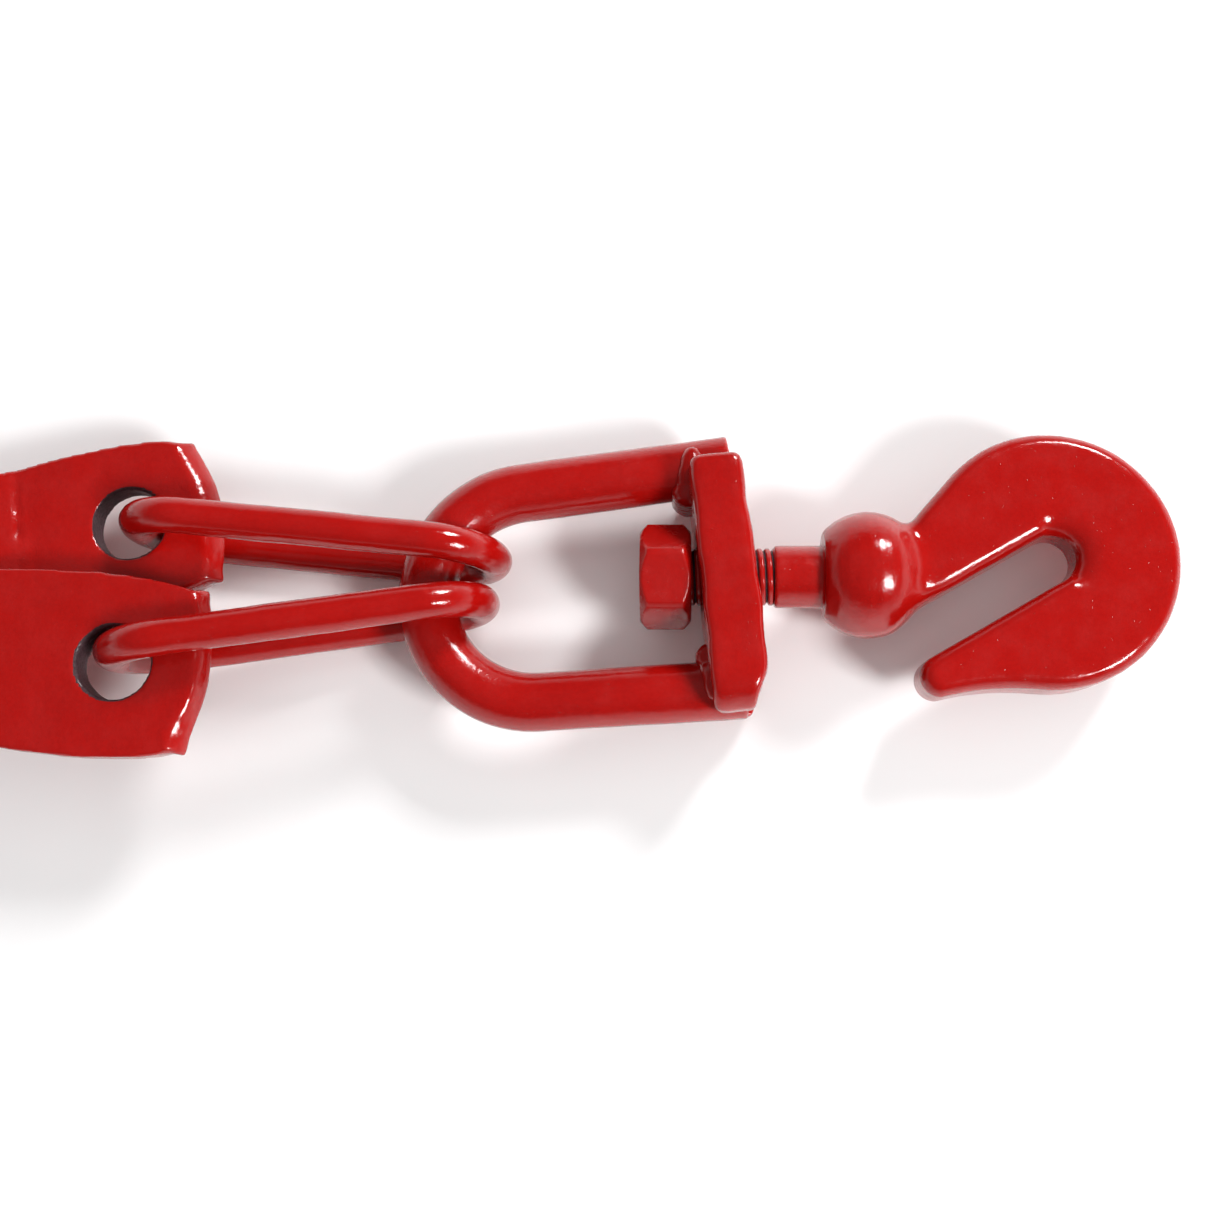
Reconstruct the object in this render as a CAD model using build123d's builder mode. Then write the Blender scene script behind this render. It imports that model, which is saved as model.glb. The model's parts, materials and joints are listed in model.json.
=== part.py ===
"""Log skidding tongs: two crossing arms, two long links, a welded yoke and a swivel grab hook.

The tongs lie flat and closed, +X towards the hook and +Z up. The origin is at the middle of
the footprint, on the surface that the tongs lie on. All lengths are in millimetres.
"""
import os
from math import cos, radians, sin

from build123d import *

os.makedirs("parts", exist_ok=True)

# ---- Layout of the whole object ------------------------------------------------------------
PIVOT = (-41.3, 16.15)  # main pivot, seen from above
REAR_ARM_ANGLE = 13.5  # direction of each arm's eye from the pivot, in degrees
FRONT_ARM_ANGLE = -4.5
REAR_ARM_Z = 12.0  # underside of the lower arm
FRONT_ARM_Z = 36.4  # top side of the upper arm

HOOK_AXIS_Y = PIVOT[1] + 14.5
HOOK_AXIS_Z = 19.2
BALL_X = PIVOT[0] + 304.5
PLATE_X = PIVOT[0] + 268.3  # middle of the yoke's cross plate
YOKE_ANGLE = 5.8  # the yoke lies slightly askew of the hook

PRESS_CLEARANCE = 0.05  # between pieces that are fixed to each other

# ---- Arms ----------------------------------------------------------------------------------
ARM_THICKNESS = 12.0
EYE_REACH = 120.0  # pivot to the centre of the eye
EYE_R = 9.0
PAD_HALF = 21.6  # the arm's end, hammered out flat round the eye
PAD_THICKNESS = 8.0
PAD_CORNER_X = EYE_REACH + 19.4
PAD_END_X = EYE_REACH + 22.5
PAD_RAMP = 8.0
REAR_PAD_START = 95.0
FRONT_PAD_START = 86.0
REAR_PAD_SWELL = -0.4  # each arm's end is hammered out a little differently on its outer side
FRONT_PAD_SWELL = 1.9
TAIL_HALF = 17.0
BOSS_R = 27.0
CLAW_TIP = (-287.0, 29.0)
CLAW_TAPER = 48.0
CLAW_TIP_THICKNESS = 3.0

# ---- Pivot bolt ----------------------------------------------------------------------------
BOLT_R = 10.0
BOLT_HEAD_AF = 30.0
PIVOT_CLEARANCE = 0.08
PIVOT_PLAY = 0.2  # under the upper washer, so that the arms turn
WASHER_R = 18.5
WASHER_THICKNESS = 3.0
PIVOT_NUT_AF = 30.0
PIVOT_NUT_LENGTH = 16.0
PIVOT_NUT_CORNER_R = 16.8
BOLT_END = 3.0  # thread standing past the nut

# ---- Links ---------------------------------------------------------------------------------
LINK_WIRE_R = 4.5
LINK_INNER_WIDTH = 22.0
LINK_SPAN = 91.0  # between the wire's centres at the two ends
REAR_LINK_EYE = (PIVOT[0] + 119.0, PIVOT[1] + 27.7)  # wire centre inside the lower arm's eye
REAR_LINK_ANGLE = -5.6
REAR_LINK_TILT = 0.0
REAR_LINK_LEAN = 1.8  # its upper side leans away from the other link
FRONT_LINK_EYE = (PIVOT[0] + 116.8, PIVOT[1] - 6.3)
FRONT_LINK_ANGLE = 8.7
FRONT_LINK_TILT = 4.2  # its eye end lies higher, in the upper arm
FRONT_LINK_LEAN = -1.8

# ---- Yoke ----------------------------------------------------------------------------------
BAR_R = 7.5
BOW_R = 27.1
BOW_TO_PLATE = 48.6
LEG_SPREAD = 2.2  # each leg leans outwards, in degrees
UPPER_LEG = 54.0  # from where the bow ends to the end of the rod
LOWER_LEG = 52.0
CROSS_PLATE_THICKNESS = 13.4
CROSS_PLATE_WIDTH = 34.0
CROSS_PLATE_ENDS = (-35.4, 28.6)
CROSS_PLATE_EDGE = 2.0
CROSS_PLATE_HOLE_R = 8.5
NOTCH_R = BAR_R + 0.3
WELD_LEG = 3.5

# ---- Hook and its nut ----------------------------------------------------------------------
HOOK_THICKNESS = 17.0
HOOK_EDGE = 3.8
BALL_R = 16.2
BALL_HALF_LENGTH = 11.3
BALL_END_R = 11.0  # the ball is cut flat where the shank and the hook leave it
BALL_OFFSET = 0.5  # it was forged a little off the shank's axis
SHANK_R = 8.0
THREAD_R = 7.3
GROOVE_DEPTH = 0.6
THREAD_PITCH = 2.0
FIRST_GROOVE = 0.8  # from the end of the plain shank
GROOVES = 4
NECK_START = 23.9  # from the centre of the ball back to the end of the plain shank
NUT_FACE = 44.8  # from the centre of the ball back to the nut's bearing face
NUT_LENGTH = 13.0
NUT_AF = 24.0
NUT_CORNER_R = 13.4
NUT_CONE = 1.9
NUT_TURN = 12.0  # its upper flat looks a little towards the yoke's lower leg
LOCK_WELD = 1.2  # depth of the weld that locks the nut on the shank
HEAD_CENTRE = (45.6, 3.2)  # the hook's round head, from the centre of the ball
HEAD_R = 32.8
SLOT_ANGLE = 29.4
SLOT_R = 6.1
SLOT_END = (46.3, 3.8)
SLOT_LENGTH = 36.5  # of its upper wall
NECK_ANGLE = 49.0  # the back of the neck, a tangent to the head
NECK_LENGTH = 16.8
JAW_START = 174.0  # heading in which the jaw's hollow underside leaves the head
JAW_TIP = (17.2, -26.1)
JAW_TIP_R = 5.2


def beyond(start, angle, distance):
    """The point at a distance from another, along a direction in degrees."""
    return (start[0] + distance * cos(radians(angle)), start[1] + distance * sin(radians(angle)))


def heading(angle):
    """The level direction at an angle in degrees."""
    return (cos(radians(angle)), sin(radians(angle)), 0)


PIVOT_AXIS = Axis((*PIVOT, 0), (0, 0, 1))
PIVOT_SECTION = Plane((*PIVOT, 0), (1, 0, 0), (0, -1, 0))  # upright, through the pivot


def save(part, name):
    """Labels a finished piece and writes it as the node of that name."""
    part.label = name
    export_step(part, f"parts/{name}.step")


# ---- Arms: flat forgings that cross at the pivot, each with an eye and a claw --------------
# Each arm is drawn on a plane whose X runs to its eye and whose Z runs into the steel, with
# its claw on the -Y side. The upper arm is the same forging turned over.
ARMS = (
    (
        "arm_rear", Plane((*PIVOT, REAR_ARM_Z), heading(REAR_ARM_ANGLE), (0, 0, 1)),
        REAR_PAD_START, REAR_PAD_SWELL, BOLT_R + PRESS_CLEARANCE,
    ),
    (
        "arm_front", Plane((*PIVOT, FRONT_ARM_Z), heading(FRONT_ARM_ANGLE), (0, 0, -1)),
        FRONT_PAD_START, FRONT_PAD_SWELL, BOLT_R + PIVOT_CLEARANCE,
    ),
)

for name, face, pad_start, swell, bolt_hole_r in ARMS:
    with BuildPart() as arm:
        with BuildSketch(face):
            with BuildLine():
                outer_corner = (PAD_CORNER_X, 18.2 + swell)
                ThreePointArc(outer_corner, (PAD_END_X, -2), (PAD_CORNER_X, -18.8))
                Spline((PAD_CORNER_X, -18.8), (EYE_REACH, -PAD_HALF), (86, -20.6), (52, -TAIL_HALF))
                Polyline((52, -TAIL_HALF), (0, -TAIL_HALF), (0, TAIL_HALF), (52, TAIL_HALF))
                Spline(
                    (52, TAIL_HALF), (88, 20.2 + swell), (EYE_REACH - 4, PAD_HALF + swell), outer_corner
                )
            make_face()
            Circle(BOSS_R)
            with BuildLine():
                Spline((-4, 22), (-66, -8), (-134, -36), (-196, -46), (-246, -33), (-274, -6))
                Polyline((-274, -6), CLAW_TIP, (-298, 14))
                Spline(
                    (-298, 14), (-301, -18), (-264, -60), (-198, -77), (-126, -68), (-54, -42), (0, -22)
                )
                Line((0, -22), (-4, 22))
            make_face()
        extrude(amount=ARM_THICKNESS)
        # The end is hammered flat on both sides, down to the thickness of the eye.
        step = (ARM_THICKNESS - PAD_THICKNESS) / 2
        with BuildSketch(Plane(face.origin, face.x_dir, -face.y_dir)):
            for outer, inner in ((0, step), (ARM_THICKNESS, ARM_THICKNESS - step)):
                with BuildLine():
                    Polyline(
                        (pad_start - PAD_RAMP, outer), (pad_start, inner), (PAD_END_X + 5, inner),
                        (PAD_END_X + 5, outer), close=True,
                    )
                make_face()
        extrude(amount=2 * PAD_HALF, both=True, mode=Mode.SUBTRACT)
        # The claw is drawn down to a point.
        step = (ARM_THICKNESS - CLAW_TIP_THICKNESS) / 2
        with BuildSketch(Plane(face.origin, face.y_dir, face.x_dir)):
            for outer, inner in ((0, step), (ARM_THICKNESS, ARM_THICKNESS - step)):
                with BuildLine():
                    Polyline(
                        (CLAW_TIP[1] - CLAW_TAPER, outer), (CLAW_TIP[1] + 2, inner),
                        (CLAW_TIP[1] + 2, outer), close=True,
                    )
                make_face()
        extrude(amount=-400, mode=Mode.SUBTRACT)
        with BuildSketch(face):
            Circle(bolt_hole_r)
            with Locations((EYE_REACH, 0)):
                Circle(EYE_R)
        extrude(amount=ARM_THICKNESS, mode=Mode.SUBTRACT)
    save(arm.part, name)


# ---- Pivot bolt with its washers and nut, and the nut of the swivel -------------------------
WASHERS = (
    ("pivot_washer_lower", REAR_ARM_Z - WASHER_THICKNESS),
    ("pivot_washer_upper", FRONT_ARM_Z + PIVOT_PLAY),
)
PIVOT_NUT_Z = FRONT_ARM_Z + PIVOT_PLAY + WASHER_THICKNESS
BOLT_HEAD_HEIGHT = REAR_ARM_Z - WASHER_THICKNESS
BOLT_TOP = PIVOT_NUT_Z + PIVOT_NUT_LENGTH + BOLT_END

with BuildPart() as pivot_bolt:
    with BuildSketch(Plane((*PIVOT, 0))):
        RegularPolygon(BOLT_HEAD_AF / 2, 6, major_radius=False, rotation=20)
    extrude(amount=BOLT_HEAD_HEIGHT)
    with BuildSketch(PIVOT_SECTION):
        with BuildLine():
            Polyline(
                (0, 0), (BOLT_HEAD_AF / 2 - 0.6, 0), (PIVOT_NUT_CORNER_R, NUT_CONE),
                (PIVOT_NUT_CORNER_R, BOLT_HEAD_HEIGHT), (0, BOLT_HEAD_HEIGHT), close=True,
            )
        make_face()
    revolve(axis=PIVOT_AXIS, mode=Mode.INTERSECT)
    with BuildSketch(Plane((*PIVOT, BOLT_HEAD_HEIGHT))):
        Circle(BOLT_R)
    extrude(amount=BOLT_TOP - BOLT_HEAD_HEIGHT)
    chamfer(pivot_bolt.edges().group_by(Axis.Z)[-1], 1.5)
save(pivot_bolt.part, "pivot_bolt")

for name, z in WASHERS:
    with BuildPart() as washer:
        with BuildSketch(Plane((*PIVOT, z))):
            Circle(WASHER_R)
            Circle(BOLT_R + PRESS_CLEARANCE, mode=Mode.SUBTRACT)
        extrude(amount=WASHER_THICKNESS)
    save(washer.part, name)

swivel_nut_face = Plane(
    (BALL_X - NUT_FACE, HOOK_AXIS_Y, HOOK_AXIS_Z),
    (0, cos(radians(NUT_TURN)), sin(radians(NUT_TURN))), (-1, 0, 0),
)
NUTS = (
    (
        "pivot_nut", Plane((*PIVOT, PIVOT_NUT_Z), (0, 1, 0), (0, 0, 1)), PIVOT_NUT_AF, PIVOT_NUT_LENGTH,
        PIVOT_NUT_CORNER_R, BOLT_R + PRESS_CLEARANCE,
    ),
    (
        "swivel_nut", swivel_nut_face, NUT_AF, NUT_LENGTH, NUT_CORNER_R, THREAD_R + PRESS_CLEARANCE,
    ),
)

for name, face, across_flats, length, corner_r, bore_r in NUTS:
    with BuildPart() as nut:
        with BuildSketch(face):
            RegularPolygon(across_flats / 2, 6, major_radius=False)
            Circle(bore_r, mode=Mode.SUBTRACT)
        extrude(amount=length)
        # Both ends are turned to a cone, which cuts the corners to arcs.
        with BuildSketch(Plane(face.origin, face.x_dir, -face.y_dir)):
            with BuildLine():
                end_r = across_flats / 2 - 0.6
                Polyline(
                    (0, 0), (end_r, 0), (corner_r, NUT_CONE), (corner_r, length - NUT_CONE),
                    (end_r, length), (0, length), close=True,
                )
            make_face()
        revolve(axis=Axis(face.origin, face.z_dir), mode=Mode.INTERSECT)
    save(nut.part, name)


# ---- Links: round wire bent to a long oval that stands on edge ------------------------------
LINK_BEND_R = LINK_INNER_WIDTH / 2 + LINK_WIRE_R
LINKS = (
    ("link_rear", REAR_LINK_EYE, REAR_LINK_ANGLE, REAR_LINK_TILT, REAR_LINK_LEAN),
    ("link_front", FRONT_LINK_EYE, FRONT_LINK_ANGLE, FRONT_LINK_TILT, FRONT_LINK_LEAN),
)

for name, eye, angle, tilt, lean in LINKS:
    yoke_end = (*beyond(eye, angle, LINK_SPAN), LINK_BEND_R + LINK_WIRE_R)
    along = Vector(*heading(angle)) * cos(radians(tilt)) - Vector(0, 0, sin(radians(tilt)))
    middle = Vector(*yoke_end) - along * LINK_SPAN / 2
    level = Vector(sin(radians(angle)), -cos(radians(angle)), 0)
    sideways = level * cos(radians(lean)) - along.cross(level) * sin(radians(lean))
    upright = Plane(middle, along, sideways)
    straight = LINK_SPAN / 2 - LINK_BEND_R
    with BuildPart() as link:
        with BuildLine(upright):
            Line((0, -LINK_BEND_R), (straight, -LINK_BEND_R))
            ThreePointArc((straight, -LINK_BEND_R), (LINK_SPAN / 2, 0), (straight, LINK_BEND_R))
            Line((straight, LINK_BEND_R), (0, LINK_BEND_R))
        with BuildSketch(Plane(upright.from_local_coords((0, -LINK_BEND_R, 0)), z_dir=along)):
            Circle(LINK_WIRE_R)
        sweep()
        mirror(about=Plane(middle, z_dir=along))
    save(link.part, name)


# ---- Yoke: a bent bar welded into notches in a cross plate ---------------------------------
BOW = beyond((PLATE_X, HOOK_AXIS_Y), YOKE_ANGLE, -BOW_TO_PLATE)
yoke_plane = Plane((*BOW, HOOK_AXIS_Z), heading(YOKE_ANGLE), (0, 0, 1))
upper_tangent = beyond((0, 0), 90 + LEG_SPREAD, BOW_R)
lower_tangent = beyond((0, 0), -90 - LEG_SPREAD, BOW_R)
upper_end = beyond(upper_tangent, LEG_SPREAD, UPPER_LEG)
lower_end = beyond(lower_tangent, -LEG_SPREAD, LOWER_LEG)

with BuildPart() as yoke_bar:
    with BuildLine(yoke_plane):
        Line(upper_end, upper_tangent)
        ThreePointArc(upper_tangent, (-BOW_R, 0), lower_tangent)
        Line(lower_tangent, lower_end)
    rod_end = yoke_plane.from_local_coords((*upper_end, 0))
    with BuildSketch(Plane(rod_end, z_dir=heading(YOKE_ANGLE + 180 + LEG_SPREAD))):
        Circle(BAR_R)
    sweep()
save(yoke_bar.part, "yoke_bar")

plate_left = BOW_TO_PLATE - CROSS_PLATE_THICKNESS / 2
plate_right = BOW_TO_PLATE + CROSS_PLATE_THICKNESS / 2
plate_centre_y = sum(CROSS_PLATE_ENDS) / 2
plate_length = CROSS_PLATE_ENDS[1] - CROSS_PLATE_ENDS[0]
leg_y = upper_tangent[1] + (BOW_TO_PLATE - upper_tangent[0]) * sin(radians(LEG_SPREAD))
# A face of the plate, with X across its width, Y along the plate and Z out to the bow.
plate_face = Plane(
    yoke_plane.from_local_coords((plate_right, 0, 0)), (0, 0, 1), -yoke_plane.x_dir
)

with BuildPart() as yoke_plate:
    with BuildSketch(plate_face):
        with Locations((0, plate_centre_y)):
            Rectangle(CROSS_PLATE_WIDTH, plate_length)
    extrude(amount=CROSS_PLATE_THICKNESS)
    fillet(yoke_plate.edges(), CROSS_PLATE_EDGE)
    with BuildSketch(plate_face):
        Circle(CROSS_PLATE_HOLE_R)
        for y in (leg_y, -leg_y):
            with Locations((0, y), (0, 1.3 * y)):
                Circle(NOTCH_R)
            with Locations((0, 1.15 * y)):
                Rectangle(2 * NOTCH_R, 0.3 * leg_y)
    extrude(amount=CROSS_PLATE_THICKNESS, mode=Mode.SUBTRACT)
save(yoke_plate.part, "yoke_plate")

with BuildPart() as yoke_welds:
    for y in (leg_y, -leg_y):
        root = yoke_plane.from_local_coords((plate_left, y, 0))
        with BuildSketch(Plane(root, -yoke_plane.x_dir, -yoke_plane.y_dir)):
            with BuildLine():
                Polyline((0, BAR_R), (WELD_LEG, BAR_R), (0, BAR_R + WELD_LEG), close=True)
            make_face()
        revolve(axis=Axis(root, yoke_plane.x_dir))
    # The beads end where the plate does.
    with BuildSketch(plate_face):
        for end, side in zip(CROSS_PLATE_ENDS, (Align.MAX, Align.MIN)):
            with Locations((0, end)):
                Rectangle(4 * BAR_R, 2 * BAR_R, align=(Align.CENTER, side))
    extrude(amount=2 * CROSS_PLATE_THICKNESS, mode=Mode.SUBTRACT)
save(yoke_welds.part, "yoke_welds")


# ---- Swivel grab hook: a forged hook, its ball and its threaded shank in one piece ---------
hook_plane = Plane((BALL_X, HOOK_AXIS_Y, HOOK_AXIS_Z), (1, 0, 0), (0, 0, 1))
hook_axis = Axis(hook_plane.origin, (1, 0, 0))
slot_floor = beyond(SLOT_END, SLOT_ANGLE - 90, SLOT_R)
slot_roof = beyond(SLOT_END, SLOT_ANGLE + 90, SLOT_R)
jaw_top = beyond(JAW_TIP, SLOT_ANGLE + 90, JAW_TIP_R)
jaw_bottom = beyond(JAW_TIP, -90, JAW_TIP_R)
head_bottom = beyond(HEAD_CENTRE, JAW_START - 270, HEAD_R)
head_back = beyond(HEAD_CENTRE, NECK_ANGLE + 90, HEAD_R)
neck_foot = beyond(head_back, NECK_ANGLE + 180, NECK_LENGTH)
slot_mouth = beyond(slot_roof, SLOT_ANGLE + 180, SLOT_LENGTH)
shank_end = -NUT_FACE - NUT_LENGTH + LOCK_WELD

with BuildPart() as grab_hook:
    with BuildSketch(hook_plane):
        with BuildLine():
            Polyline(slot_mouth, (5, -5), (3, 5), neck_foot, head_back)
            ThreePointArc(head_back, beyond(HEAD_CENTRE, 20, HEAD_R), head_bottom)
            TangentArc(head_bottom, jaw_bottom, tangent=heading(JAW_START)[:2])
            ThreePointArc(jaw_bottom, beyond(JAW_TIP, 195, JAW_TIP_R), jaw_top)
            Line(jaw_top, slot_floor)
            ThreePointArc(slot_floor, beyond(SLOT_END, SLOT_ANGLE, SLOT_R), slot_roof)
            Line(slot_roof, slot_mouth)
        make_face()
    extrude(amount=HOOK_THICKNESS / 2, both=True)
    fillet(grab_hook.faces().filter_by(Axis.Z).edges(), HOOK_EDGE)
    with BuildSketch(hook_plane):
        with BuildLine():
            Polyline(
                (-BALL_HALF_LENGTH, BALL_OFFSET + BALL_END_R), (-BALL_HALF_LENGTH, BALL_OFFSET),
                (BALL_HALF_LENGTH, BALL_OFFSET), (BALL_HALF_LENGTH, BALL_OFFSET + BALL_END_R),
            )
            ThreePointArc(
                (BALL_HALF_LENGTH, BALL_OFFSET + BALL_END_R), (0, BALL_OFFSET + BALL_R),
                (-BALL_HALF_LENGTH, BALL_OFFSET + BALL_END_R),
            )
        make_face()
    revolve(axis=Axis(hook_plane.from_local_coords((0, BALL_OFFSET, 0)), (1, 0, 0)))
    with BuildSketch(hook_plane):
        with BuildLine():
            Polyline(
                (0, 0), (0, SHANK_R), (-NECK_START, SHANK_R), (-NECK_START, THREAD_R),
                (shank_end, THREAD_R), (shank_end, 0), close=True,
            )
        make_face()
    revolve(axis=hook_axis)
    with BuildSketch(hook_plane):
        for groove in range(GROOVES):
            with Locations((-NECK_START - FIRST_GROOVE - THREAD_PITCH * groove, THREAD_R)):
                Rectangle(THREAD_PITCH / 3, 2 * GROOVE_DEPTH, align=(Align.MAX, Align.CENTER))
    revolve(axis=hook_axis, mode=Mode.SUBTRACT)
save(grab_hook.part, "grab_hook")

with BuildPart() as swivel_lock_weld:
    with BuildSketch(Plane((BALL_X + shank_end, HOOK_AXIS_Y, HOOK_AXIS_Z), (0, 1, 0), (-1, 0, 0))):
        Circle(THREAD_R)
    extrude(amount=LOCK_WELD)
save(swivel_lock_weld.part, "swivel_lock_weld")
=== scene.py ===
"""Looks of the log skidding tongs: red enamelled forgings, welds and threads round the CAD frame.

Every forging starts from its CAD node's shape, is skinned again in small faces, gets the rounded
edges and uneven faces of hammered steel, and stands for that node. Lengths are in metres.
"""
import json
from math import cos, pi, radians, sin

import bmesh
import bpy
import numpy as np
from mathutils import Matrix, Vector, noise

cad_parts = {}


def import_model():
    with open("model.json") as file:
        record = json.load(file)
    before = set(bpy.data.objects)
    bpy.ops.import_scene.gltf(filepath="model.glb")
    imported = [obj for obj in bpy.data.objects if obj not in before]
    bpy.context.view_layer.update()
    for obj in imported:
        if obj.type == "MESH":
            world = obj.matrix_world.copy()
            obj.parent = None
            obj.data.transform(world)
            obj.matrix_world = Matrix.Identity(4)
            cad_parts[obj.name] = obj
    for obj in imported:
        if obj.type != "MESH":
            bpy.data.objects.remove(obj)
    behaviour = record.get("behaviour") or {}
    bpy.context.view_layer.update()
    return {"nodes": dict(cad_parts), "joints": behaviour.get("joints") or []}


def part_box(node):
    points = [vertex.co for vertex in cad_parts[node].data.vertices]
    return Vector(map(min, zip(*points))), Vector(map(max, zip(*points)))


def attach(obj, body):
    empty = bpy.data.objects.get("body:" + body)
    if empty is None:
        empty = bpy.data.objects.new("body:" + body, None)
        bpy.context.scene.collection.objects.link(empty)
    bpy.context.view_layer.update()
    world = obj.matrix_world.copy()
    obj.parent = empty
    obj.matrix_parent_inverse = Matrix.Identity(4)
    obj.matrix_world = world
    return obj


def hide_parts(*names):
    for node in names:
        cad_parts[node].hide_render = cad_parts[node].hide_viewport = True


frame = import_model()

MM = 0.001
hinge = {joint["name"]: Vector(joint["pos_m"]) for joint in frame["joints"]}
PIVOT = hinge["tongs_opening"]
SWIVEL = hinge["hook_swivel"]

# ---- Driving dimensions, as in the CAD model ----------------------------------------------
LOWER_ARM_ANGLE = radians(13.5)
UPPER_ARM_ANGLE = radians(-4.5)
EYE_REACH = 120 * MM
EYE_R = 9 * MM
PAD_HALF_THICKNESS = 4 * MM
YOKE_ANGLE = radians(5.8)
BAR_R = 7.5 * MM
LEG_Y = 29.0 * MM  # from the hook's axis to the middle of each leg, at the plate
PLATE_HALF = 6.7 * MM
NUT_TO_BALL = 44.8 * MM
BALL_TO_NECK = 23.9 * MM
BALL_R = 16.2 * MM
HOOK_HALF_THICKNESS = 8.5 * MM
SLOT_END = (46.3 * MM, 3.8 * MM)  # from the centre of the ball
SLOT_R = 6.1 * MM
SLOT_ANGLE = radians(29.4)
HOOK_THREAD_R = 7.3 * MM
HOOK_THREAD_PITCH = 2 * MM
BOLT_R = 10 * MM
BOLT_CORE_R = 8.7 * MM  # under the thread, which only this script makes
BOLT_PITCH = 2.5 * MM


# ---- Camera: the closing view, from above with the hook to the right -----------------------
CAMERA_DISTANCE = 0.375
CAMERA_ELEVATION = radians(80)
CAMERA_ASIDE = 18 * MM
CAMERA_LENS = 43.8
SENSOR = 36.0

aim = SWIVEL + Vector((-36.15, -7.73, 0)) * MM
back = Vector((0, -cos(CAMERA_ELEVATION), sin(CAMERA_ELEVATION)))
camera_data = bpy.data.cameras.new("camera")
camera_data.lens = CAMERA_LENS
camera_data.sensor_width = SENSOR
camera_data.shift_x = -CAMERA_ASIDE / CAMERA_DISTANCE * CAMERA_LENS / SENSOR
camera_data.clip_start = 0.01
camera = bpy.data.objects.new("camera", camera_data)
camera.location = aim + back * CAMERA_DISTANCE + Vector((CAMERA_ASIDE, 0, 0))
camera.rotation_euler = (pi / 2 - CAMERA_ELEVATION, 0, 0)
bpy.context.scene.collection.objects.link(camera)
bpy.context.scene.camera = camera


# ---- Materials -----------------------------------------------------------------------------
class Nodes:
    """A short way to write a material's node tree."""

    def __init__(self, name):
        self.material = bpy.data.materials.new(name)
        self.material.use_nodes = True
        self.tree = self.material.node_tree
        self.shader = self.tree.nodes["Principled BSDF"]

    def add(self, kind, inputs=(), **settings):
        node = self.tree.nodes.new(kind)
        for key, value in settings.items():
            setattr(node, key, value)
        for socket, value in dict(inputs).items():
            self.put(node.inputs[socket], value)
        return node

    def put(self, socket, value):
        if isinstance(value, bpy.types.NodeSocket):
            self.tree.links.new(value, socket)
        else:
            socket.default_value = value

    def noise(self, scale, detail=2.0, roughness=0.5):
        place = self.add("ShaderNodeTexCoord").outputs["Object"]
        node = self.add(
            "ShaderNodeTexNoise",
            {"Vector": place, "Scale": scale, "Detail": detail, "Roughness": roughness},
        )
        return node.outputs["Fac"]

    def math(self, operation, a, b=0.0, c=0.0):
        return self.add("ShaderNodeMath", {0: a, 1: b, 2: c}, operation=operation).outputs[0]

    def span(self, value, low, high, to_low=0.0, to_high=1.0):
        """A value's range brought to another, with soft ends."""
        inputs = {
            "Value": value, "From Min": low, "From Max": high, "To Min": to_low, "To Max": to_high,
        }
        node = self.add("ShaderNodeMapRange", inputs, interpolation_type="SMOOTHSTEP")
        return node.outputs["Result"]

    def mix(self, share, a, b):
        node = self.add("ShaderNodeMix", data_type="RGBA")
        for socket, value in ((0, share), (6, a), (7, b)):
            self.put(node.inputs[socket], value)
        return node.outputs[2]


PAINT = (0.38, 0.0038, 0.0026, 1)
PAINT_DEEP = (0.28, 0.0024, 0.0018, 1)
PAINT_THIN = (0.42, 0.0105, 0.0080, 1)
# Near-black painted shade for the crevices.
PAINTED_CREVICE_SHADE = (0.032, 0.002, 0.003, 1)
# Unpainted steel colours, which are also used as painted shade on the welds.
BARE_STEEL_AND_SHADE = (0.030, 0.009, 0.013, 1)
SCRAPED_STEEL_AND_SHADE = (0.085, 0.035, 0.042, 1)


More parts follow.
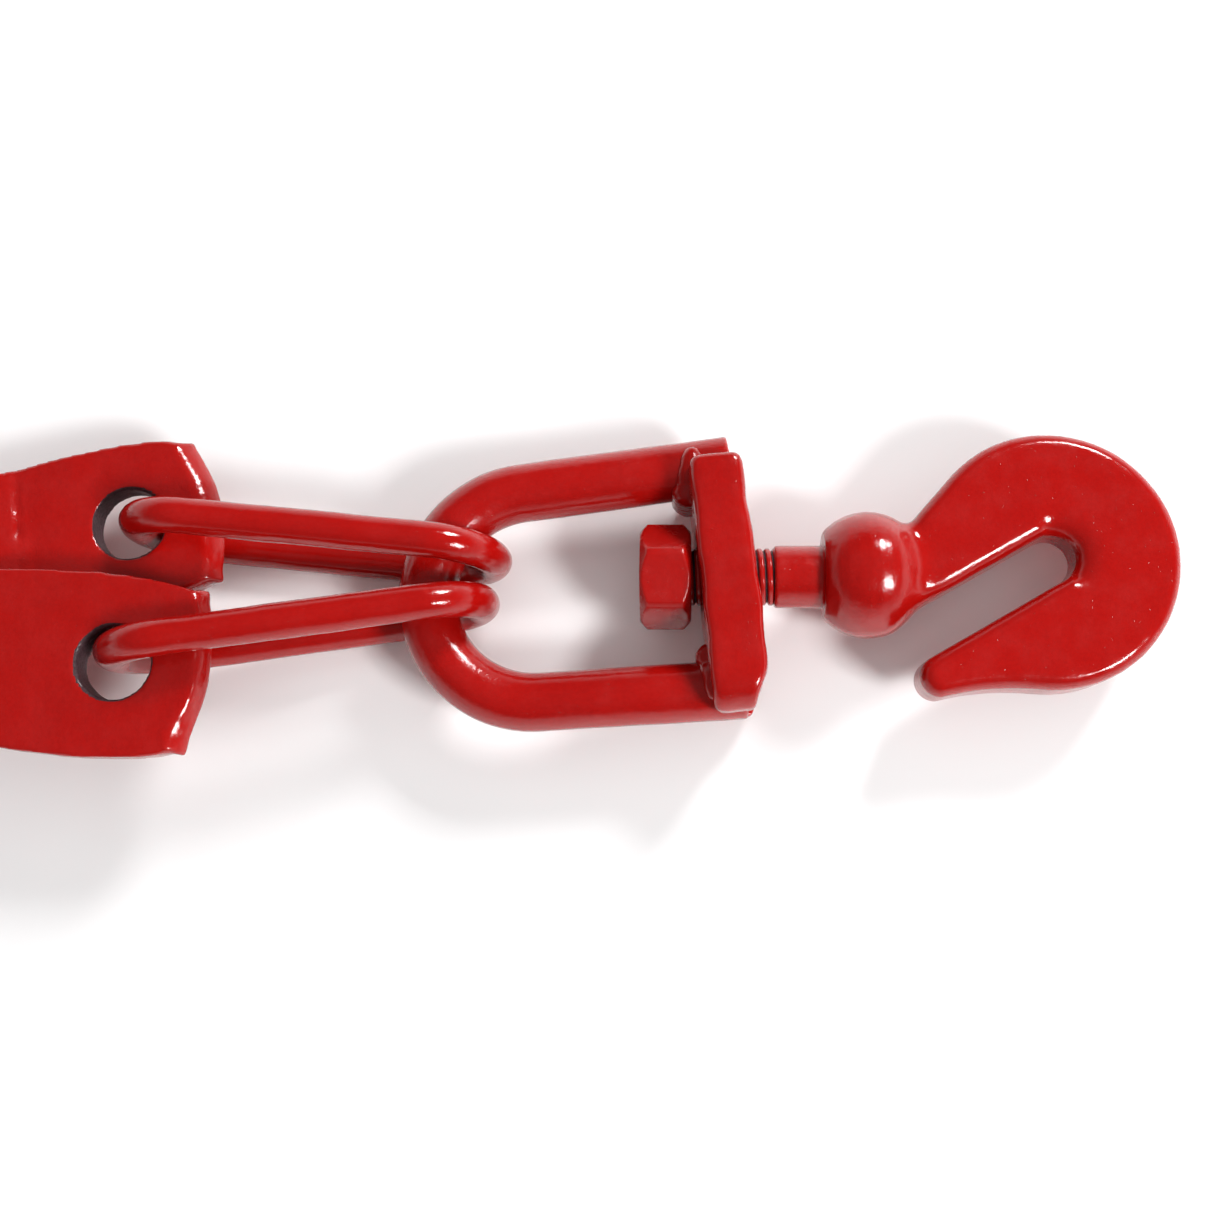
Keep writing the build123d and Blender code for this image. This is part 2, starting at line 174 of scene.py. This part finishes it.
def enamel(name, peel, mottle, roughness):
    """Thick red enamel on steel: dust under the coat, thin at the edges, painted shade in the
    crevices, and no paint where the mesh's own unpainted value says so, which on the welds is
    partly painted shade. Peel is the depth of its orange peel."""
    n = Nodes(name)
    point = n.add("ShaderNodeNewGeometry").outputs["Pointiness"]
    cloud = n.span(n.noise(45, 4, 0.55), 0.35, 0.70, 0.0, mottle)
    grain = n.span(n.noise(900, 3, 0.6), 0.30, 0.75, 0.0, 0.35)
    colour = n.mix(n.math("ADD", cloud, grain), PAINT, PAINT_DEEP)
    colour = n.mix(n.span(point, 0.515, 0.60, 0.0, 0.55), colour, PAINT_THIN)
    # Painted shade: concave places (low pointiness) are darkened to near black, standing in for the
    # shade that falls into crevices.
    colour = n.mix(n.span(point, 0.485, 0.42, 0.0, 0.85), colour, PAINTED_CREVICE_SHADE)
    # Unpainted colour where the mesh's value asks for it: in the eyes and thread grooves, and on
    # the welds in patches that are partly painted shade for the dark corner between bar and plate.
    given = n.add("ShaderNodeAttribute", attribute_name="bare_and_shade").outputs["Fac"]
    ragged = n.math("MULTIPLY_ADD", n.noise(420, 4, 0.65), 0.75, n.math("SUBTRACT", given, 0.37))
    bare_and_shade = n.span(ragged, 0.42, 0.56)
    steel = n.mix(n.span(n.noise(1500, 4, 0.7), 0.45, 0.75), BARE_STEEL_AND_SHADE, SCRAPED_STEEL_AND_SHADE)
    n.put(n.shader.inputs["Base Color"], n.mix(bare_and_shade, colour, steel))

    smear = n.span(n.noise(140, 3, 0.6), 0.3, 0.7, roughness, roughness + 0.13)
    n.put(n.shader.inputs["Roughness"], n.math("MAXIMUM", smear, n.math("MULTIPLY", bare_and_shade, 0.62)))
    n.shader.inputs["IOR"].default_value = 1.5
    n.shader.inputs["Coat Weight"].default_value = 0.18
    n.shader.inputs["Coat Roughness"].default_value = 0.05

    place = n.add("ShaderNodeTexCoord").outputs["Object"]
    dust = n.add("ShaderNodeTexVoronoi", {"Vector": place, "Scale": 620.0}).outputs["Distance"]
    nibs = n.span(dust, 0.12, 0.0)
    waves = n.add("ShaderNodeBump", {"Distance": peel, "Height": n.noise(380, 3, 0.5)})
    fine = n.add(
        "ShaderNodeBump",
        {"Strength": 0.8, "Distance": 0.00008, "Height": nibs, "Normal": waves.outputs[0]},
    )
    grit = n.add(
        "ShaderNodeBump",
        {"Distance": 0.00003, "Height": n.noise(1900, 2, 0.6), "Normal": fine.outputs[0]},
    )
    scale = n.add(
        "ShaderNodeBump",
        {
            "Strength": n.math("MULTIPLY", bare_and_shade, 0.9), "Distance": 0.0004,
            "Height": n.noise(1100, 4, 0.65), "Normal": grit.outputs[0],
        },
    )
    n.put(n.shader.inputs["Normal"], scale.outputs[0])
    return n.material


FINISH = {
    "arm_paint": enamel("arm_enamel", peel=0.00016, mottle=0.30, roughness=0.12),
    "link_paint": enamel("link_enamel", peel=0.00010, mottle=0.22, roughness=0.09),
    "yoke_paint": enamel("yoke_enamel", peel=0.00015, mottle=0.30, roughness=0.11),
    "hook_paint": enamel("hook_enamel", peel=0.00012, mottle=0.16, roughness=0.09),
    "fastener_paint": enamel("fastener_enamel", peel=0.00008, mottle=0.30, roughness=0.18),
}


# ---- Mesh tools ----------------------------------------------------------------------------
def piece(name, mesh, body, slot, *nodes):
    """Makes a mesh a finished piece: shaded smooth, painted, on its body, for its CAD nodes."""
    old = bpy.data.objects.get(name)
    if old is not None:
        old.name = name + "_cad"
    made = bpy.data.objects.new(name, mesh)
    bpy.context.scene.collection.objects.link(made)
    mesh.polygons.foreach_set("use_smooth", [True] * len(mesh.polygons))
    mesh.materials.clear()
    mesh.materials.append(FINISH[slot])
    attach(made, body)
    if nodes:
        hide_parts(*nodes)


def closed_copy(node):
    """A CAD node's mesh with its split seams joined."""
    bm = bmesh.new()
    bm.from_mesh(frame["nodes"][node].data)
    bmesh.ops.remove_doubles(bm, verts=bm.verts, dist=1e-6)
    return bm


def skin(bm, voxel, rounds):
    """The closed shape in a bmesh, skinned again in even faces with softened edges."""
    mesh = bpy.data.meshes.new("skin")
    bm.to_mesh(mesh)
    bm.free()
    holder = bpy.data.objects.new("skin", mesh)
    bpy.context.scene.collection.objects.link(holder)
    remesh = holder.modifiers.new("remesh", "REMESH")
    remesh.mode = "VOXEL"
    remesh.voxel_size = voxel
    smooth = holder.modifiers.new("smooth", "SMOOTH")
    smooth.factor = 0.5
    smooth.iterations = rounds
    graph = bpy.context.evaluated_depsgraph_get()
    made = bpy.data.meshes.new_from_object(holder.evaluated_get(graph))
    bpy.data.objects.remove(holder)
    bpy.data.meshes.remove(mesh)
    return made


def points_of(mesh):
    points = np.empty(len(mesh.vertices) * 3, np.float32)
    mesh.vertices.foreach_get("co", points)
    return points.reshape(-1, 3).astype(float)


def set_points(mesh, points):
    mesh.vertices.foreach_set("co", points.astype(np.float32).ravel())
    mesh.update()


def ripple(points, size, seed):
    """Smooth noise, about -1 to 1, with hollows and bumps of a size, at each point."""
    shift = Vector((seed * 17.3, seed * 5.1, seed * 9.7))
    return np.array([noise.noise(Vector(p) / size + shift) for p in points])


def hammer(mesh, seed, *layers):
    """Moves the skin in and out along its normals by layers of (bump size, height)."""
    points = points_of(mesh)
    normals = np.empty(len(points) * 3, np.float32)
    mesh.vertex_normals.foreach_get("vector", normals)
    lift = sum(height * ripple(points, size, seed + i) for i, (size, height) in enumerate(layers))
    set_points(mesh, points + normals.reshape(-1, 3) * lift[:, None])


def local(points, origin, angle):
    """Points as seen from an origin, in a level frame whose X is turned by an angle."""
    offset = points - np.array(origin)
    c, s = cos(angle), sin(angle)
    return np.column_stack((
        offset[:, 0] * c + offset[:, 1] * s, offset[:, 1] * c - offset[:, 0] * s, offset[:, 2],
    ))


def world(points, origin, angle):
    """The reverse of local."""
    c, s = cos(angle), sin(angle)
    return np.column_stack((
        points[:, 0] * c - points[:, 1] * s, points[:, 0] * s + points[:, 1] * c, points[:, 2],
    )) + np.array(origin)


def ease(value, low, high):
    """0 below low, 1 above high and a smooth step between them."""
    share = np.clip((value - low) / (high - low), 0, 1)
    return share * share * (3 - 2 * share)


def soften(mesh, weight, rounds):
    """Evens out the skin where the weight is, so that a sharp inner corner becomes a hollow."""
    points = points_of(mesh)
    edges = np.empty(len(mesh.edges) * 2, np.int64)
    mesh.edges.foreach_get("vertices", edges)
    edges = edges.reshape(-1, 2)
    count = np.bincount(edges.ravel(), minlength=len(points))[:, None]
    for _ in range(rounds):
        total = np.zeros_like(points)
        np.add.at(total, edges[:, 0], points[edges[:, 1]])
        np.add.at(total, edges[:, 1], points[edges[:, 0]])
        points += (total / count - points) * weight[:, None] * 0.6
    set_points(mesh, points)


def hill(value, centre, width):
    """1 at the centre, falling smoothly to 0 on both sides."""
    return np.exp(-((value - centre) / width) ** 2)


def scale_about_pivot(points, factor):
    """Moves each point to or from the pivot bolt's axis by its own factor."""
    centre = np.array(PIVOT)[:2]
    points[:, :2] = centre + (points[:, :2] - centre) * factor[:, None]


def set_bare_and_shade(mesh, amount):
    """Where the steel shows: 1 for unpainted, 0 for painted. On the welds the unpainted patches are
    partly painted shade.
    """
    layer = mesh.attributes.new("bare_and_shade", "FLOAT", "POINT")
    layer.data.foreach_set("value", amount.astype(np.float32))


# ---- Arms ----------------------------------------------------------------------------------
ARM_VOXEL = 0.85 * MM
BOSS_R = 20 * MM  # the faces stay flat out to here, since arms and washers rub round the pivot
BOSS_FADE = 8 * MM
BOLT_GAP = 0.25 * MM
PAD_SHOULDER = 16 * MM  # from the eye, along the arm and across it
PAD_EDGE = 20 * MM
CUT_BACK = 0.9 * MM
HORN_ACROSS = 1.3 * MM
HORN_ALONG = 0.6 * MM
CREASE_X = -28 * MM  # from the eye
CREASE_WIDTH = 0.9 * MM


def arm(name, body, angle, outer, bulge, facet, crease, seed):
    """One arm. Outer is the side (1 or -1) away from the other eye, bulge how far the end stands
    past its two faces, facet the depth of the slanting facet that the hammer left on the outer
    corner, and crease that of the dents across the foot of the pad."""
    mesh = skin(closed_copy(name), ARM_VOXEL, 2)
    eye = PIVOT + Vector((cos(angle), sin(angle), 0)) * EYE_REACH
    eye.z = sum(v.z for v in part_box(name)) / 2
    at = local(points_of(mesh), eye, angle)
    near_end = ease(at[:, 0], 11 * MM, 21 * MM)
    cut_back = CUT_BACK * ease(at[:, 1] * outer, 2 * MM, PAD_SHOULDER)
    face = np.clip(np.abs(at[:, 2]) / PAD_HALF_THICKNESS, 0, 1)
    setback = bulge * (1 + 0.35 * ripple(at, 9 * MM, seed + 7))
    setback += facet * hill(at[:, 1] * outer, 15.5 * MM, 4 * MM) * (at[:, 2] > 0)
    at[:, 0] -= near_end * (face ** 1.25 * setback + cut_back)
    # Sheared corners draw out to short horns.
    for side in (1, -1):
        corner = ease(at[:, 0], PAD_SHOULDER, PAD_EDGE)
        corner *= ease(at[:, 1] * side, PAD_SHOULDER, PAD_EDGE)
        at[:, 1] += corner * side * HORN_ACROSS
        at[:, 0] += corner * HORN_ALONG
    # The edge of the hammer left a broken crease across the foot of the pad.
    broken = np.clip(0.35 + 1.1 * ripple(at, 5 * MM, seed + 9), 0, 1)
    dent = crease * hill(at[:, 0], CREASE_X + 0.1 * at[:, 1], CREASE_WIDTH) * broken
    at[:, 2] -= np.sign(at[:, 2]) * dent
    set_points(mesh, world(at, eye, angle))
    flat = points_of(mesh)
    hammer(mesh, seed, (26 * MM, 0.45 * MM), (9 * MM, 0.22 * MM), (3.5 * MM, 0.07 * MM))
    from_pivot = np.hypot(flat[:, 0] - PIVOT.x, flat[:, 1] - PIVOT.y)
    rough = ease(from_pivot, BOSS_R, BOSS_R + BOSS_FADE)[:, None]
    points = flat + (points_of(mesh) - flat) * rough
    # The hole for the pivot bolt stays clear of the bolt.
    scale_about_pivot(points, np.maximum((BOLT_R + BOLT_GAP) / from_pivot, 1))
    set_points(mesh, points)
    at = local(points_of(mesh), eye, angle)
    from_eye = np.hypot(at[:, 0], at[:, 1])
    set_bare_and_shade(mesh, 1 - ease(from_eye, EYE_R + 0.15 * MM, EYE_R + 1.1 * MM))
    piece(name, mesh, body, "arm_paint", name)


arm(
    "arm_rear", "lower_arm", LOWER_ARM_ANGLE,
    outer=1, bulge=3.6 * MM, facet=0.0, crease=0.9 * MM, seed=3,
)
arm(
    "arm_front", "upper_arm", UPPER_ARM_ANGLE,
    outer=-1, bulge=2.6 * MM, facet=1.8 * MM, crease=0.0, seed=11,
)


# ---- Links ---------------------------------------------------------------------------------
LINK_VOXEL = 0.5 * MM

for name, body, seed in (("link_rear", "rear_link", 21), ("link_front", "front_link", 27)):
    mesh = skin(closed_copy(name), LINK_VOXEL, 4)
    hammer(mesh, seed, (18 * MM, 0.16 * MM), (6 * MM, 0.07 * MM))
    piece(name, mesh, body, "link_paint", name)


# ---- Yoke ----------------------------------------------------------------------------------
YOKE_VOXEL = 0.6 * MM
WELD_VOXEL = 0.45 * MM
plate_low, plate_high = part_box("yoke_plate")
PLATE_CENTRE = Vector(((plate_low.x + plate_high.x) / 2, SWIVEL.y, SWIVEL.z))

mesh = skin(closed_copy("yoke_bar"), YOKE_VOXEL, 4)
hammer(mesh, 31, (28 * MM, 0.16 * MM), (8 * MM, 0.05 * MM))
piece("yoke_bar", mesh, "yoke", "yoke_paint", "yoke_bar")


def cross_plate():
    """The sheared plate: thicker to its lower end, with wavy edges and one torn corner."""
    mesh = skin(closed_copy("yoke_plate"), YOKE_VOXEL, 3)
    at = local(points_of(mesh), PLATE_CENTRE, YOKE_ANGLE)
    right = ease(at[:, 0], -2 * MM, 5 * MM)
    at[:, 0] += right * ease(at[:, 1], 26 * MM, -12 * MM) * 1.0 * MM
    torn = ease(at[:, 1], -25 * MM, -35 * MM)
    at[:, 0] -= np.clip(at[:, 0], 0, None) * torn * 0.50
    # Its lower end is hammered round, from the top face to the end.
    fall = ease(at[:, 1], -27 * MM, -37 * MM)
    at[:, 2] *= 1 - 0.30 * fall * fall
    wave = ripple(at * np.array((0.3, 1, 1)), 9 * MM, 41)
    at[:, 0] += wave * 0.5 * MM * np.sign(at[:, 0]) * ease(np.abs(at[:, 0]), 2 * MM, 6 * MM)
    set_points(mesh, world(at, PLATE_CENTRE, YOKE_ANGLE))
    soften(mesh, np.ones(len(mesh.vertices)), rounds=16)
    hammer(mesh, 43, (16 * MM, 0.25 * MM), (5 * MM, 0.10 * MM))
    piece("yoke_plate", mesh, "yoke", "yoke_paint", "yoke_plate")


cross_plate()


def blob(bm, centre, radii, turn):
    """A closed lump of weld metal."""
    made = bmesh.ops.create_icosphere(bm, subdivisions=3, radius=1)["verts"]
    for v in made:
        x, y, z = v.co.x * radii[0], v.co.y * radii[1], v.co.z * radii[2]
        v.co = centre + Vector((x * cos(turn) - y * sin(turn), x * sin(turn) + y * cos(turn), z))


def welds():
    """Two beads round the bar where it enters the plate, laid lump by lump."""
    leg = LEG_Y / cos(YOKE_ANGLE)
    rings = [
        PLATE_CENTRE + Vector((-PLATE_HALF - side * leg * sin(YOKE_ANGLE), side * leg, 0))
        for side in (1, -1)
    ]
    bm = bmesh.new()
    for ring, inward in zip(rings, (-1, 1)):
        # The bead grows from the leg's outer side to a heavy fillet in the corner inside the yoke.
        for step in range(-12, 13):
            around = radians(8.5) * step
            heavy = 0.5 + 0.5 * cos(around)
            drift = noise.noise(Vector((step * 0.35, ring.y * 100, 0)))
            reach = BAR_R + (1.0 * heavy - 0.6) * MM
            centre = ring + Vector((0.8 * MM, inward * cos(around) * reach, sin(around) * reach))
            wide = (1.0 + 3.6 * heavy + 0.4 * drift) * MM
            tall = (1.3 + 1.2 * heavy) * MM
            blob(bm, centre, (wide, tall, tall), YOKE_ANGLE)
        for rise in range(-6, 5, 2):
            centre = ring + Vector((0.6 * MM, inward * (BAR_R + 0.6 * MM), rise * MM))
            blob(bm, centre, (4.9 * MM, 3.9 * MM, 3.2 * MM), YOKE_ANGLE)
    mesh = skin(bm, WELD_VOXEL, 8)
    hammer(mesh, 47, (4 * MM, 0.30 * MM), (1.6 * MM, 0.07 * MM))
    # Partly painted shade: sparse dark patches of unpainted colour on the welds stand in for the
    # shade in the corner between bar and plate.
    set_bare_and_shade(mesh, 0.12 + 0.20 * ripple(points_of(mesh), 3 * MM, 49))
    piece("yoke_welds", mesh, "yoke", "yoke_paint", "yoke_welds")


welds()


# ---- Threads -------------------------------------------------------------------------------
AROUND = 96
STEPS_PER_PITCH = 14


def thread(start, along, length, radius, depth, pitch, groove):
    """A closed screw thread from a start along an axis. Groove is the share of the pitch that
    is cut away, and the mesh's "bare" value marks its floor."""
    side = Vector((0, 1, 0))
    up = along.cross(side)
    steps = round(length / pitch * STEPS_PER_PITCH)
    bm = bmesh.new()
    bare_and_shade = []
    rows = []
    for i in range(steps + 1):
        travel = length * i / steps
        row = []
        for j in range(AROUND):
            turn = j / AROUND
            phase = (travel / pitch - turn) % 1.0
            cut = hill(min(phase, 1 - phase), 0, groove / 2)
            reach = radius - depth * cut
            outwards = side * cos(2 * pi * turn) + up * sin(2 * pi * turn)
            row.append(bm.verts.new(start + along * travel + outwards * reach))
            bare_and_shade.append(cut)
        rows.append(row)
    for a, b in zip(rows, rows[1:]):
        for j in range(AROUND):
            k = (j + 1) % AROUND
            bm.faces.new((a[j], a[k], b[k], b[j]))
    bm.faces.new(rows[0][::-1])
    bm.faces.new(rows[-1])
    bmesh.ops.recalc_face_normals(bm, faces=bm.faces)
    mesh = bpy.data.meshes.new("thread")
    bm.to_mesh(mesh)
    bm.free()
    set_bare_and_shade(mesh, np.array(bare_and_shade) * 0.95)
    return mesh


# ---- Hook ----------------------------------------------------------------------------------
HOOK_VOXEL = 0.55 * MM
SHANK_END_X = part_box("grab_hook")[0].x
NUT_FACE_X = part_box("swivel_nut")[1].x
BALL = Vector((NUT_FACE_X + NUT_TO_BALL, SWIVEL.y, SWIVEL.z))
NECK_X = BALL.x - BALL_TO_NECK


def grab_hook():
    """The forging from its plain shank to the hook, and the thread as a piece of its own."""
    bm = closed_copy("grab_hook")
    everything = bm.verts[:] + bm.edges[:] + bm.faces[:]
    cut = bmesh.ops.bisect_plane(
        bm, geom=everything, plane_co=(NECK_X + 0.05 * MM, 0, 0), plane_no=(1, 0, 0),
        clear_inner=True,
    )
    rim = [e for e in cut["geom_cut"] if isinstance(e, bmesh.types.BMEdge)]
    bmesh.ops.holes_fill(bm, edges=rim)
    mesh = skin(bm, HOOK_VOXEL, 3)
    at = points_of(mesh) - np.array(BALL)
    # The rim of the slot's closed end is ground round, and this fades out along its sides.
    x, y = at[:, 0] - SLOT_END[0], at[:, 1] - SLOT_END[1]
    from_wall = np.hypot(x, y) - SLOT_R
    towards = (x * cos(SLOT_ANGLE) + y * sin(SLOT_ANGLE)) / np.maximum(from_wall + SLOT_R, MM)
    reach = (3.8 + 3.4 * ease(towards, -0.35, 0.55)) * MM
    fall = np.clip((reach - from_wall) / reach, 0, 1)
    drop = 5.0 * MM * (1 - np.sqrt(1 - 0.98 * fall ** 2)) * ease(towards, -0.3, 0.4)
    limit = np.where(drop > 0, HOOK_HALF_THICKNESS - drop, 1.0)
    at[:, 2] = np.clip(at[:, 2], -limit, limit)
    set_points(mesh, at + np.array(BALL))
    # A hollow fillet where the ball runs into the hook.
    from_ball = np.linalg.norm(at, axis=1)
    corner = hill(from_ball, BALL_R - 1.5 * MM, 3.4 * MM) * ease(at[:, 0], 6 * MM, 10 * MM)
    soften(mesh, corner, rounds=110)
    hammer(mesh, 53, (22 * MM, 0.16 * MM), (7 * MM, 0.06 * MM), (3 * MM, 0.03 * MM))
    piece("grab_hook", mesh, "hook", "hook_paint", "grab_hook")
    mesh = thread(
        Vector((SHANK_END_X, SWIVEL.y, SWIVEL.z)), Vector((1, 0, 0)),
        length=NECK_X + 0.6 * MM - SHANK_END_X, radius=HOOK_THREAD_R, depth=0.8 * MM,
        pitch=HOOK_THREAD_PITCH, groove=0.34,
    )
    piece("hook_thread", mesh, "hook", "hook_paint")


grab_hook()


# ---- Nuts, bolt and washers ----------------------------------------------------------------
FASTENERS = (
    ("swivel_nut", "hook", 0.36 * MM, 2),
    ("pivot_nut", "lower_arm", 0.5 * MM, 3),
    ("pivot_bolt", "lower_arm", 0.55 * MM, 3),
    ("pivot_washer_lower", "lower_arm", 0.42 * MM, 3),
    ("pivot_washer_upper", "lower_arm", 0.42 * MM, 3),
    ("swivel_lock_weld", "hook", 0.3 * MM, 2),
)
bolt_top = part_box("pivot_bolt")[1].z
thread_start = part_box("pivot_nut")[1].z - 0.5 * MM  # just inside the nut
for seed, (name, body, voxel, rounds) in enumerate(FASTENERS, 61):
    mesh = skin(closed_copy(name), voxel, rounds)
    hammer(mesh, seed, (9 * MM, 0.07 * MM), (3 * MM, 0.03 * MM))
    if name == "pivot_bolt":
        # Room for the thread, which is a piece of its own.
        points = points_of(mesh)
        scale_about_pivot(points, np.where(points[:, 2] > thread_start, BOLT_CORE_R / BOLT_R, 1))
        set_points(mesh, points)
    piece(name, mesh, body, "fastener_paint", name)

mesh = thread(
    Vector((PIVOT.x, PIVOT.y, thread_start)), Vector((0, 0, 1)),
    length=bolt_top - 0.3 * MM - thread_start, radius=BOLT_R, depth=1.2 * MM,
    pitch=BOLT_PITCH, groove=0.6,
)
piece("bolt_thread", mesh, "lower_arm", "fastener_paint")


# ---- Floor and light -----------------------------------------------------------------------
def floor():
    n = Nodes("pale_floor")
    shade = n.span(n.noise(6, 3), 0.3, 0.7)
    n.put(n.shader.inputs["Base Color"], n.mix(shade, (0.90, 0.90, 0.90, 1), (0.93, 0.93, 0.93, 1)))
    n.shader.inputs["Roughness"].default_value = 0.6
    mesh = bpy.data.meshes.new("floor")
    half = 9.0
    corners = [(-half, -half, 0), (half, -half, 0), (half, half, 0), (-half, half, 0)]
    mesh.from_pydata(corners, [], [(0, 1, 2, 3)])
    mesh.materials.append(n.material)
    made = bpy.data.objects.new("floor", mesh)
    bpy.context.scene.collection.objects.link(made)


def softbox(name, bearing, elevation, distance, size, power):
    """A square lamp that faces the middle of the view."""
    data = bpy.data.lights.new(name, "AREA")
    data.shape = "SQUARE"
    data.size = size
    data.energy = power
    lamp = bpy.data.objects.new(name, data)
    a, e = radians(bearing), radians(elevation)
    out = Vector((cos(a) * cos(e), sin(a) * cos(e), sin(e)))
    lamp.location = aim + out * distance
    lamp.rotation_euler = (-out).to_track_quat("-Z", "Y").to_euler()
    bpy.context.scene.collection.objects.link(lamp)
    return lamp


floor()
softbox("key_high", bearing=58, elevation=36, distance=1.6, size=0.38, power=19.0)
softbox("key_low", bearing=-32, elevation=44, distance=1.6, size=0.38, power=19.0)
ceiling = softbox("ceiling", bearing=0, elevation=90, distance=6.0, size=9.0, power=170.0)
ceiling.visible_glossy = False  # so that the paint doesn't mirror it


def studio():
    """An even white backdrop all round that darkens overhead, where the camera hangs."""
    sky = bpy.data.worlds.new("studio")
    sky.use_nodes = True
    tree = sky.node_tree
    place = tree.nodes.new("ShaderNodeTexCoord")
    split = tree.nodes.new("ShaderNodeSeparateXYZ")
    fade = tree.nodes.new("ShaderNodeMapRange")
    fade.interpolation_type = "SMOOTHSTEP"
    brightness = {"From Min": 0.03, "From Max": 0.45, "To Min": 0.95, "To Max": 0.09}
    for socket, value in brightness.items():
        fade.inputs[socket].default_value = value
    tree.nodes["Background"].inputs["Color"].default_value = (1, 1, 1, 1)
    tree.links.new(place.outputs["Generated"], split.inputs[0])
    tree.links.new(split.outputs["Z"], fade.inputs["Value"])
    tree.links.new(fade.outputs["Result"], tree.nodes["Background"].inputs["Strength"])
    bpy.context.scene.world = sky


studio()
bpy.context.scene.view_settings.view_transform = "Standard"
